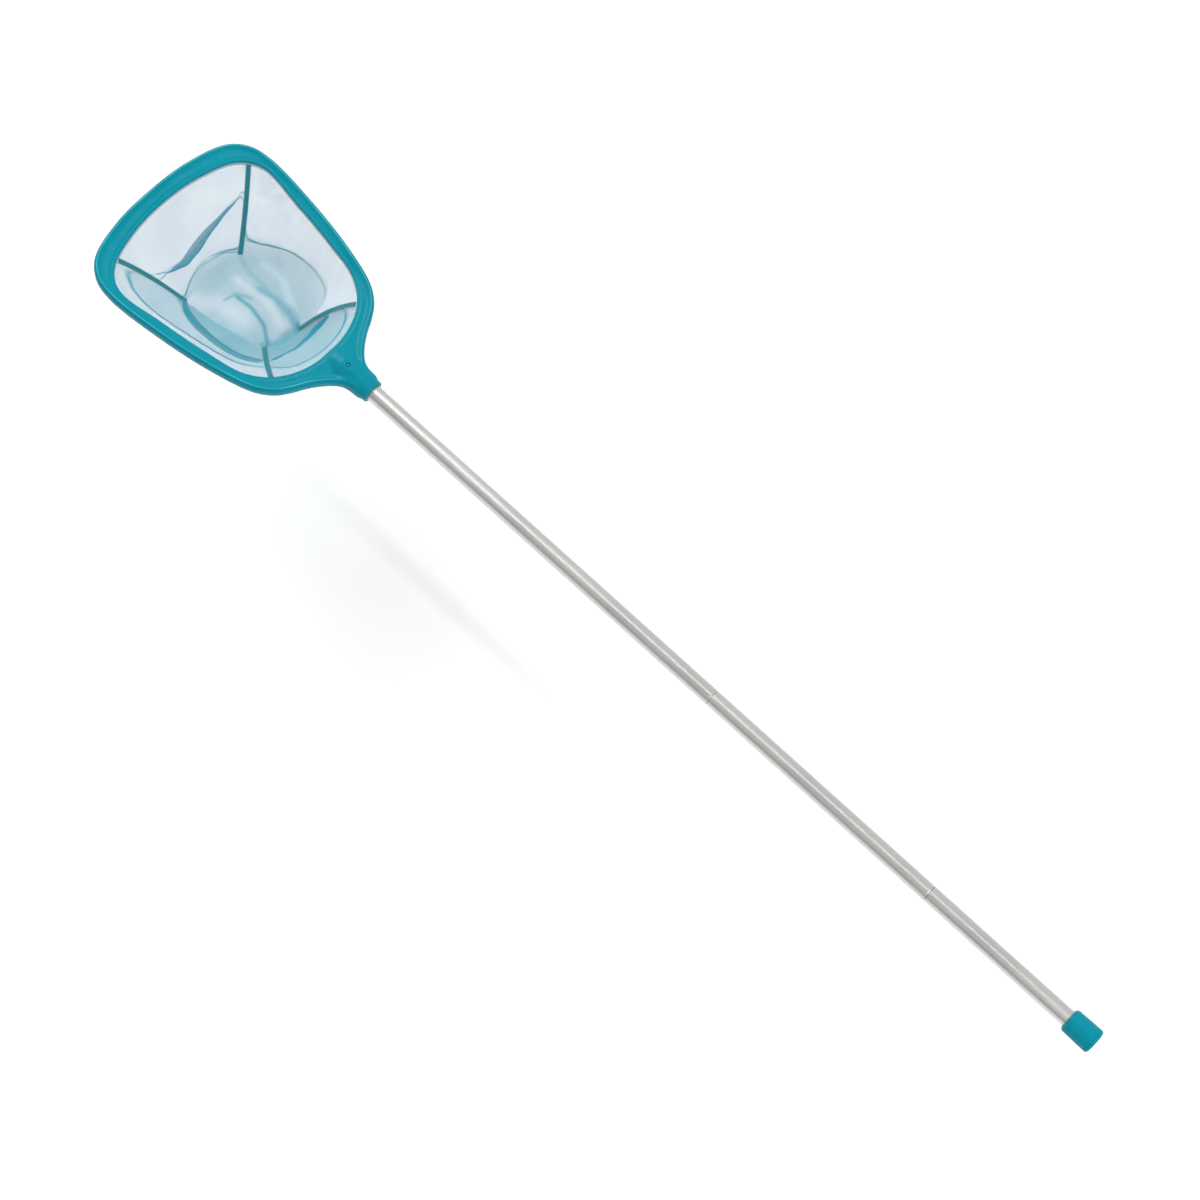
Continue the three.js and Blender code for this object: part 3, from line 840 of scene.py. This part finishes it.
def grid_faces(index):
    """The quads of a grid of vertex numbers."""
    ring = (index[:-1, :-1], index[1:, :-1], index[1:, 1:], index[:-1, 1:])
    return np.stack(ring, axis=-1).reshape(-1, 4)


def seam_bow(walls):
    """Moves the seams to their bowed lines, and eases the cloth beside them along."""
    n = SIDE_STEPS
    down = np.linspace(0, 1, WALL_STEPS + 1)[:, None]
    for corner, bow in enumerate(SEAM_BOWS):
        away = np.linalg.norm(walls - walls[:, corner * n:corner * n + 1], axis=2)
        share = 1 - ease(away, 0, SEAM_HALO)
        walls += (share * np.sin(np.pi * down) ** 0.8)[:, :, None] * np.array(bow) * MM
    return walls


def fold_line(route, count):
    """A fold's place, depth and strength at each column, read from its route and smoothed."""
    shares, places, depths, strengths = zip(*route)
    columns = np.linspace(0, 1, count)
    kernel = np.hanning(2 * FOLD_SMOOTHING + 1)
    kernel /= kernel.sum()
    lines = []
    for values in (places, depths, strengths):
        line = np.pad(np.interp(columns, shares, values), FOLD_SMOOTHING, mode="edge")
        lines.append(np.convolve(line, kernel, mode="valid"))
    return lines


def inward_of(panel):
    """The direction into the bag at each point of a wall."""
    inward = unit(np.cross(np.gradient(panel, axis=1), np.gradient(panel, axis=0)))
    rows, columns = panel.shape[:2]
    return inward * np.sign(inward[rows // 2, columns // 2, 2])


def folded(panel, folds):
    """A wall's points with its folds laid in, and how thick and dark the net is drawn at each point,
    with painted shade in each fold and along its edges.

    A fold is a Z in the cloth: down past its line, back up by its depth, and down again. The rows
    of the grid follow the fold's two edges, and are even again at the seams.
    """
    rows, columns = panel.shape[:2]
    lengths = travelled(panel)
    inward = inward_of(panel)
    lines = [fold_line(route, columns) for _, _, _, route in folds]
    count = np.arange(rows)
    result = panel.copy()
    density_and_shade = np.zeros((rows, columns))
    for c in range(1, columns - 1):
        share = c / (columns - 1)
        seam = ease(min(share, 1 - share), 0, FOLD_START)
        whole = lengths[-1, c]
        knots = [(0, 0, 0, 0)]
        for ((first, last), below, lift, _), line in zip(folds, lines):
            at, depth, strength = (values[c] for values in line)
            flat = (first - last) / (rows - 1) / 3
            reach = flat + (depth * MM / 2 / whole - flat) * min(1, depth / 2)
            upper = first / (rows - 1) * (1 - seam) + (at + reach) * seam
            lower = last / (rows - 1) * (1 - seam) + (at - reach) * seam
            knots.append((first, upper, lift * strength * seam, knots[-1][3]))
            knots.append((last, lower, -FOLD_TUCK * lift * strength * seam, below))
            # painted shade: each fold is drawn denser and darker between its edges, and more so along them
            density_and_shade[first - 2:last, c] += FOLD_SHADE * min(1, depth / 4)
            density_and_shade[[first, last], c] += strength * CREASE_SHADE
        knots.append((rows - 1, 1, 0, knots[-1][3]))
        row, place, lifts, shades = zip(*knots)
        where = np.interp(count, row, place) * whole
        for axis in range(3):
            result[:, c, axis] = np.interp(where, lengths[:, c], panel[:, c, axis])
        result[:, c] += inward[:, c] * np.interp(count, row, lifts)[:, None]
        density_and_shade[:, c] += np.interp(count, row, shades)
    density_and_shade[:, [0, -1]] = density_and_shade[:, [1, -2]]
    return result, density_and_shade


def creased_floor(floor):
    """The floor's points with its creases and swells, and what they add to its density: painted shade along
    the creases and painted light on the swells.
    """
    u, v = np.meshgrid(*(np.linspace(0, 1, SIDE_STEPS + 1),) * 2)
    inside = ease(np.minimum(np.minimum(u, 1 - u), np.minimum(v, 1 - v)), 0, FLOOR_MARGIN)
    density_and_shade = np.zeros(u.shape)
    height = np.zeros(u.shape)
    for route, width, rise, shade in FLOOR_CREASES:
        line = [floor[round(b * SIDE_STEPS), round(a * SIDE_STEPS), :2] for a, b in route]
        away = np.full(u.shape, np.inf)
        for a, b in zip(line, line[1:]):
            step = b - a
            share = np.clip((floor[:, :, :2] - a) @ step / (step @ step), 0, 1)[:, :, None]
            away = np.minimum(away, np.linalg.norm(floor[:, :, :2] - a - share * step, axis=2))
        bell = np.exp(-((away / (width * MM)) ** 2))
        height += bell * rise * MM
        # painted shade along a crease, and painted light where its shade is negative
        density_and_shade += bell * shade
    floor = floor.copy()
    floor[:, :, 2] += height * inside
    return floor, density_and_shade


def flat_cut(walls, floor):
    """The bag's cut laid flat, for each face corner: a cross of the floor and four panels.

    Each wall is laid out from the floor's edge by the length of its columns.
    """
    n = SIDE_STEPS
    places = []
    for i in range(4):
        columns = walls[:, i * n:(i + 1) * n + 1]
        foot = columns[-1, :, :2]
        out = columns[0, n // 2, :2] - foot[n // 2]
        axis = np.argmax(np.abs(out))
        out = np.eye(2)[axis] * np.sign(out[axis])
        side = np.abs(out[::-1])
        fall = travelled(columns)
        fall = fall[-1] - fall
        slip = (columns - columns[-1:])[:, :, :2] @ side
        lean = slip[0] / np.maximum(fall[0], MM)
        rise = fall * np.sqrt(np.maximum(1 - lean**2, 0.1))
        flat = foot[None] + (fall * lean)[:, :, None] * side + rise[:, :, None] * out
        places.append(flat)
    corners = []
    for sheet in (*places, floor[:, :, :2]):
        index = np.arange(sheet.size // 2).reshape(sheet.shape[:2])
        corners.append(sheet.reshape(-1, 2)[grid_faces(index)])
    return np.concatenate(corners)


def settle(obj, pins):
    """Hangs the cloth under gravity from its pinned points, and keeps the shape that it takes."""
    group = obj.vertex_groups.new(name="pin")
    for weight, indices in pins:
        group.add([int(i) for i in indices], weight, "REPLACE")
    cloth = obj.modifiers.new("cloth", "CLOTH")
    for key, value in CLOTH_SETTINGS.items():
        setattr(cloth.settings, key, value)
    cloth.collision_settings.use_collision = False
    cloth.point_cache.frame_start = 1
    cloth.point_cache.frame_end = CLOTH_FRAMES
    scene = bpy.context.scene
    for step in range(1, CLOTH_FRAMES + 1):
        scene.frame_set(step)
    graph = bpy.context.evaluated_depsgraph_get()
    before = read_points(obj.data)
    moved = read_points(obj.evaluated_get(graph).data) - before
    obj.modifiers.remove(cloth)
    obj.vertex_groups.clear()
    scene.frame_set(1)
    size = np.linalg.norm(moved, axis=1)[:, None]
    return before + moved * np.minimum(1, CLOTH_REACH / np.maximum(size, 1e-9))


def read_points(data):
    """The places of a mesh's vertices."""
    points = np.zeros(len(data.vertices) * 3)
    data.vertices.foreach_get("co", points)
    return points.reshape(-1, 3)


def net_bag():
    """The mesh bag as one sheet of cloth, with its wall points and the places of its flat cut."""
    walls, floor = bag_rest()
    walls = seam_bow(walls)
    wall_index, floor_index = bag_index()
    n = SIDE_STEPS
    points = np.vstack([walls[:-1].reshape(-1, 3), floor.reshape(-1, 3)])
    panels = [grid_faces(wall_index[:, i * n:(i + 1) * n + 1]) for i in range(4)]
    faces = np.concatenate(panels + [grid_faces(floor_index)])
    net = mesh_object("net_cloth", points, faces)
    seams = wall_index[1:-1, [0, n, 2 * n, 3 * n]].ravel()
    lines = ((RIM_PIN, wall_index[0, :-1]), (SEAM_PIN, seams), (FOOT_PIN, wall_index[-1, :-1]))
    points = settle(net, lines)
    walls = points[wall_index]
    density_and_shade = np.zeros(len(points))
    floor, floor_light_and_shade = creased_floor(points[floor_index])
    points[floor_index] = floor
    # painted shade: the floor is drawn denser and deeper blue than the walls, plus the painted shade and
    # light of its creases and swells
    density_and_shade[floor_index] = 1 + floor_light_and_shade
    for i, folds in enumerate(WALL_FOLDS):
        span = slice(i * n, (i + 1) * n + 1)
        walls[:-1, span], shade = (part[:-1] for part in folded(walls[:, span], folds))
        inner = slice(i * n, (i + 1) * n)
        down = np.linspace(0, 1, WALL_STEPS + 1)[:-1, None]
        # each wall is drawn denser and darker by a set amount, more towards the floor, on top of the painted
        # shade of its folds
        density_and_shade[wall_index[:-1, inner]] = shade[:, :-1] + WALL_DENSITY[i] + FOOT_DENSITY[i] * down**4
    points[wall_index[:-1]] = walls[:-1]
    net.data.vertices.foreach_set("co", points.ravel())
    cut = flat_cut(walls, floor)
    layer = net.data.uv_layers.new(name="UVMap")
    layer.data.foreach_set("uv", cut.reshape(-1))
    point_values(net, "density_and_shade", density_and_shade)
    subdivide(net)
    return net, walls, cut


def subdivide(obj):
    """Adds one level of Catmull-Clark subdivision to a mesh and applies it."""
    surface = obj.modifiers.new("smooth", "SUBSURF")
    surface.levels = 1
    surface.render_levels = 1
    graph = bpy.context.evaluated_depsgraph_get()
    data = bpy.data.meshes.new_from_object(obj.evaluated_get(graph))
    obj.modifiers.clear()
    obj.data = data
    obj.data.shade_smooth()


# ---- Hem, seam tapes and ring ----

HEM_WIDTH = 2.5 * MM
HEM_THICKNESS = 0.5 * MM
TAPE_WIDTH = 6.6 * MM
TAPE_THICKNESS = 0.7 * MM
TAPE_LIFT = 1.1 * MM
TAPE_CUP = 0.5 * MM
RING_POINTS = 90  # on each of the opening's four sides


def round_opening(name, profile):
    """A strip round the opening, from a profile of (distance out from its edge, height)."""
    rim = rim_line(RING_POINTS)
    sections = [
        [(x + nx * out, y + ny * out, z) for out, z in profile]
        for (x, y), (nx, ny) in zip(rim, outward(rim))
    ]
    return swept(name, sections)


def lay_flat(obj, across, along):
    """A swept piece's flat places: across for the points of a section, along for the sections."""
    layer = obj.data.uv_layers.new(name="UVMap")
    for loop in obj.data.loops:
        i, k = divmod(loop.vertex_index, len(across))
        layer.data[loop.index].uv = (across[k], along[i])


def net_hem():
    """The net's doubled edge: gripped flat over the ring, then turned down inside the opening."""
    top = (HEM_LOW.z + HEM_HIGH.z) / 2
    t = HEM_THICKNESS / 2
    profile = rounded([
        (3.0 * MM, top - t, 0.2 * MM), (3.0 * MM, top + t, 0.2 * MM), (-0.2 * MM, top + t, 0.3 * MM),
        (-0.6 * MM, top - HEM_WIDTH, 0.15 * MM), (-0.2 * MM, top - HEM_WIDTH - t, 0.1 * MM),
        (0.2 * MM, top - t, 0.2 * MM),
    ], 3)
    hem = round_opening("net_hem_strip", profile)
    rows = read_points(hem.data).reshape(-1, len(profile), 3)
    lay_flat(hem, travelled(rows[0]), travelled(rows[:, 0]))
    return hem


def net_ring():
    """The ring that presses the hem up into the hoop, with a rounded lower edge."""
    low = RING_LOW.z
    high = RING_HIGH.z
    profile = rounded([
        (0.3 * MM, low, 0.9 * MM), (4.5 * MM, low, 0.6 * MM),
        (4.5 * MM, high, 0.4 * MM), (0.3 * MM, high, 0.5 * MM),
    ], 4)
    ring = round_opening("retaining_ring", profile)
    crisp(ring)
    return ring


def tape_ribbon(name, seam):
    """A binding tape that follows a seam of the bag on its inside."""
    centre = np.array([0, MOUTH_Y + (FLOOR_FAR[0] + FLOOR_NEAR[0]) / 2 * MM, RIM_Z + 20 * MM])
    along = unit(np.gradient(seam, axis=0))
    inwards = centre - seam
    inwards = unit(inwards - (inwards * along).sum(axis=1)[:, None] * along)
    wide = np.cross(along, inwards)
    half = TAPE_WIDTH / 2
    t = TAPE_THICKNESS / 2
    corners = ((-half, -t), (half, -t), (half, t), (-half, t))
    across, up = rounded([(*corner, t * 0.9) for corner in corners], 3).T
    height = TAPE_LIFT + up + TAPE_CUP * (across / half) ** 2
    sections = seam[:, None] + wide[:, None] * across[:, None] + inwards[:, None] * height[:, None]
    ribbon = swept(name, sections, closed=False)
    lay_flat(ribbon, across, travelled(seam))
    return ribbon


# ---- Pole, cap, button and spring ----

TUBE_WALL = 0.9 * MM
SPIGOT_GAP = 0.3 * MM
NECK_LENGTH = 3.0 * MM
MOUTH_ROUNDING = 0.55 * MM
CAP_DISH = 0.6 * MM  # the hollow in the cap's end
CAP_FLOOR = 5 * MM
CAP_GROOVE = 4.6 * MM  # from the cap's end
CAP_GROOVE_DEPTH = 0.7 * MM
BUTTON_STEM = 2.5 * MM
BUTTON_FLANGE = 0.8 * MM
STRIP_THICKNESS = 0.7 * MM


def pole_tube(name, low, high, joint):
    """One pole section: a plain tube, or one whose part below a joint is necked down into a spigot."""
    inner = TUBE_RADIUS - TUBE_WALL
    plug = inner - SPIGOT_GAP
    thin = plug - TUBE_WALL
    upper = [(TUBE_RADIUS, high, MOUTH_ROUNDING), (inner, high, 0.3 * MM)]
    if joint is None:
        corners = [(inner, low, 0.3 * MM), (TUBE_RADIUS, low, 0.4 * MM), *upper]
        return lathe(name, rounded(corners))
    corners = [
        (thin, low, 0.2 * MM), (plug, low, 0.6 * MM), (plug, joint + 0.4 * MM, 0.8 * MM),
        (TUBE_RADIUS - 0.35 * MM, joint + 0.9 * MM, 0.3 * MM),
        (TUBE_RADIUS, joint + NECK_LENGTH, 2.0 * MM),
        *upper, (inner, joint + NECK_LENGTH, 1.2 * MM), (thin, joint, 0.8 * MM),
    ]
    return lathe(name, rounded(corners))


def end_cap():
    """The moulded cap: rounded at both ends, with a fine parting groove near its outer end."""
    low = CAP_LOW.y
    high = CAP_HIGH.y
    groove = low + CAP_GROOVE
    corners = [
        (0, low + CAP_DISH, 0), (9 * MM, low + CAP_DISH, 0.5 * MM), (10 * MM, low, 0.5 * MM),
        (CAP_RADIUS, low, 3.4 * MM),
        (CAP_RADIUS, groove - 0.6 * MM, 0.2 * MM), (CAP_RADIUS - CAP_GROOVE_DEPTH, groove, 0.2 * MM),
        (CAP_RADIUS, groove + 0.6 * MM, 0.2 * MM),
        (CAP_RADIUS - 0.8 * MM, high, 5.0 * MM), (BORE_RADIUS, high, 0.6 * MM),
        (BORE_RADIUS, low + CAP_FLOOR, 0.6 * MM), (0, low + CAP_FLOOR, 0),
    ]
    return lathe("end_cap_moulding", rounded(corners))


def snap_button():
    """The round-topped button with the flange that stops it inside the tube."""
    low = BUTTON_LOW.z
    high = BUTTON_HIGH.z
    flange = BUTTON_HIGH.x
    shoulder = low + BUTTON_FLANGE
    corners = [
        (0, low, 0), (flange, low, 0.2 * MM), (flange, shoulder, 0.2 * MM),
        (BUTTON_STEM, shoulder, 0.3 * MM), (BUTTON_STEM, high - 0.3 * MM, 1.1 * MM), (0, high, 0),
    ]
    centre = (0, BUTTON_Y, 0)
    return lathe("button_pin", rounded(corners), upright=True, centre=centre, segments=48)


def snap_spring():
    """A strip bent into a U that lies on its side inside the tube."""
    half_width = (SPRING_HIGH.x - SPRING_LOW.x) / 2
    t = STRIP_THICKNESS / 2
    radius = (SPRING_HIGH.z - SPRING_LOW.z) / 2 - t
    middle = (SPRING_HIGH.z + SPRING_LOW.z) / 2
    bend = SPRING_LOW.y + radius + t
    turn = np.linspace(math.pi / 2, 3 * math.pi / 2, 25)
    bent = [(bend + radius * math.cos(a), middle + radius * math.sin(a)) for a in turn]
    leg = np.linspace(SPRING_HIGH.y, bend, 6)[:-1]
    line = [(y, middle + radius) for y in leg] + bent + [(y, middle - radius) for y in leg[::-1]]
    along = unit(np.gradient(np.array(line), axis=0))
    corners = ((-half_width, -t), (half_width, -t), (half_width, t), (-half_width, t))
    profile = rounded([(*corner, 0.2 * MM) for corner in corners], 2)
    sections = [
        [(x, y - dz * h, z + dy * h) for x, h in profile]
        for (y, z), (dy, dz) in zip(line, along)
    ]
    spring = swept("spring_strip", sections, closed=False)
    crisp(spring)
    return spring


# ---- Camera, floor and light ----

CAMERA_TARGET = Vector((-0.003, 0.6315, 0))
CAMERA_DISTANCE = 3.135
CAMERA_AZIMUTH = math.radians(-63.77)
CAMERA_ELEVATION = math.radians(69.27)
CAMERA_ROLL = math.radians(17.27)
CAMERA_LENS = 78
CAMERA_SENSOR = 36
STAGE_DEPTH = 0.28
STAGE_REACH = 40
LIGHTS_TARGET = (0, 0.65, 0)
LIGHTS = (  # name, place, size and power
    ("strip", (0.19, 0.95, 2.5), (0.1, 2.8), 9),
    ("far_box", (0.7, 3.6, 2.4), (2.4, 1.6), 85),
    ("near_box", (-0.4, -2.4, 2.4), (2.4, 1.6), 75),
)


def standing(name, data, place, axes):
    """An object at a place, turned so that its own axes lie along these three."""
    obj = placed(name, data)
    obj.matrix_world = Matrix.Translation(place) @ Matrix(axes).transposed().to_4x4()
    return obj


def place_camera():
    """A camera that looks at CAMERA_TARGET from above the pole's left side."""
    flat = math.cos(CAMERA_ELEVATION)
    back = Vector((
        math.sin(CAMERA_AZIMUTH) * flat, -math.cos(CAMERA_AZIMUTH) * flat, math.sin(CAMERA_ELEVATION)))
    level = Vector((math.cos(CAMERA_AZIMUTH), math.sin(CAMERA_AZIMUTH), 0))
    above = back.cross(level)
    right = level * math.cos(CAMERA_ROLL) + above * math.sin(CAMERA_ROLL)
    up = back.cross(right)
    data = bpy.data.cameras.new("camera")
    data.lens = CAMERA_LENS
    data.sensor_width = CAMERA_SENSOR
    place = CAMERA_TARGET + back * CAMERA_DISTANCE
    bpy.context.scene.camera = standing("camera", data, place, (right, up, back))


def soft_light(name, place, size, power):
    """A rectangular studio light that faces LIGHTS_TARGET, with its second side along the pole."""
    data = bpy.data.lights.new(name, "AREA")
    data.shape = "RECTANGLE"
    data.size, data.size_y = size
    data.energy = power
    facing = (Vector(place) - Vector(LIGHTS_TARGET)).normalized()
    side = Vector((0, 1, 0)).cross(facing).normalized()
    standing(name, data, place, (side, facing.cross(side), facing))


def surround():
    """A soft surround: brighter to the right, darker low on the left and overhead."""
    world = bpy.data.worlds.new("surround")
    bpy.context.scene.world = world
    world.use_nodes = True
    tree = world.node_tree
    tree.nodes.clear()
    facing = add(tree, "ShaderNodeTexCoord").outputs["Generated"]
    parts = add(tree, "ShaderNodeSeparateXYZ", {"Vector": facing}).outputs
    across = parts["X"]
    height = parts["Z"]
    left = spread(tree, height, 0.1, 0.55, 0.22, 0.62)
    side = spread(tree, across, -0.5, 0.5, 0, 1)
    low = plus(tree, times(tree, side, 0.75), times(tree, minus(tree, 1, side), left))
    overhead = spread(tree, height, 0.72, 0.92, 0, 1)
    power = plus(tree, times(tree, low, minus(tree, 1, overhead)), times(tree, overhead, 0.4))
    shell = add(tree, "ShaderNodeBackground", {"Color": (1, 1, 1, 1), "Strength": power})
    add(tree, "ShaderNodeOutputWorld", {"Surface": shell.outputs["Background"]})


def studio():
    """A pale floor well below the object, a softbox past each end of it and a narrow one overhead."""
    corners = [(x * STAGE_REACH, y * STAGE_REACH, 0) for x, y in ((-1, -1), (1, -1), (1, 1), (-1, 1))]
    floor = mesh_object("studio_floor", corners, [(0, 1, 2, 3)])
    floor.location.z = BAG_LOW.z - STAGE_DEPTH
    floor.data.materials.append(pale_floor())
    for light in LIGHTS:
        soft_light(*light)
    surround()
    bpy.context.scene.view_settings.view_transform = "Standard"


# ---- Assembly ----

place_camera()
studio()

head = dress(head_frame(), TEAL, "teal_plastic", "head", "head_frame")
dress(net_ring(), TEAL, "teal_plastic", "head", "net_ring")

net, wall_points, cut = net_bag()
dress(net, NET, "net_mesh", "head", "net_bag")
hem = dress(net_hem(), HEM, "net_mesh", "head", "hem_band")
for corner, place in enumerate(("far_left", "far_right", "near_right", "near_left")):
    ribbon = tape_ribbon(f"binding_{place}", wall_points[:, corner * SIDE_STEPS])
    dress(ribbon, TAPE, "seam_tape", "head", f"seam_tape_{place}")

SECTIONS = (
    ("upper", "upper_section", MIDDLE_TOP),
    ("middle", "middle_section", LOWER_TOP),
    ("lower", "grip_section", None),
)
for part, body, joint in SECTIONS:
    low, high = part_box(f"pole_{part}")
    tube = pole_tube(f"{part}_tube", low.y, high.y, joint)
    dress(tube, TUBE, "pole_aluminium", body, f"pole_{part}")
dress(end_cap(), TEAL, "teal_plastic", "grip_section", "end_cap")
dress(snap_button(), TEAL, "teal_plastic", "button", "snap_button")
spring = dress(snap_spring(), STEEL, "spring_steel", "upper_section", "snap_spring")
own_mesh(spring)
